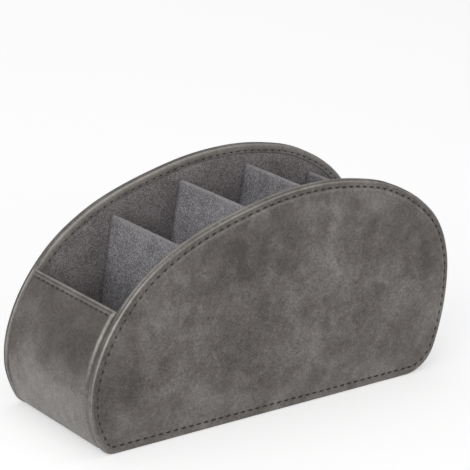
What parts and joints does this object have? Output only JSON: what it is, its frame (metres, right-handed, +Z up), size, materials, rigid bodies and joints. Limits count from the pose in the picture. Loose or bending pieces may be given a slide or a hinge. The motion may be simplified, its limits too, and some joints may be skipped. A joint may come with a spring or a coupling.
{
  "type": "remote control holder",
  "caption": "Low desk caddy with two arched side panels in grey leatherette and leaning dividers that hold remote controls upright.",
  "frame": {"origin": "middle of the footprint, on the surface that the holder stands on", "axes": "+X along the holder towards its rounder, taller end, +Y from the front panel to the back one, +Z up"},
  "size_m": [0.242, 0.0914, 0.127],
  "materials": {
    "leather": "satin nubuck leatherette with cloudy colour",
    "lining": "short suede-like nap",
    "velvet": "velvet",
    "thread": "twisted thread",
    "board": "raw fibreboard",
    "felt": "matt felt"
  },
  "bodies": {
    "root": {"front_leather": "leather", "front_board": "board", "front_lining": "lining", "front_stitching": "thread", "back_leather": "leather", "back_board": "board", "back_lining": "lining", "back_stitching": "thread", "band_leather": "leather", "band_lining": "lining", "left_wall_board": "board", "base_board": "board", "right_wall_board": "board", "left_wall_stitching": "thread", "right_wall_stitching": "thread", "base_felt": "felt", "divider_1_board": "board", "divider_2_board": "board", "divider_3_board": "board", "divider_4_board": "board", "divider_1_cover": "velvet", "divider_2_cover": "velvet", "divider_3_cover": "velvet", "divider_4_cover": "velvet"}
  },
  "joints": []
}
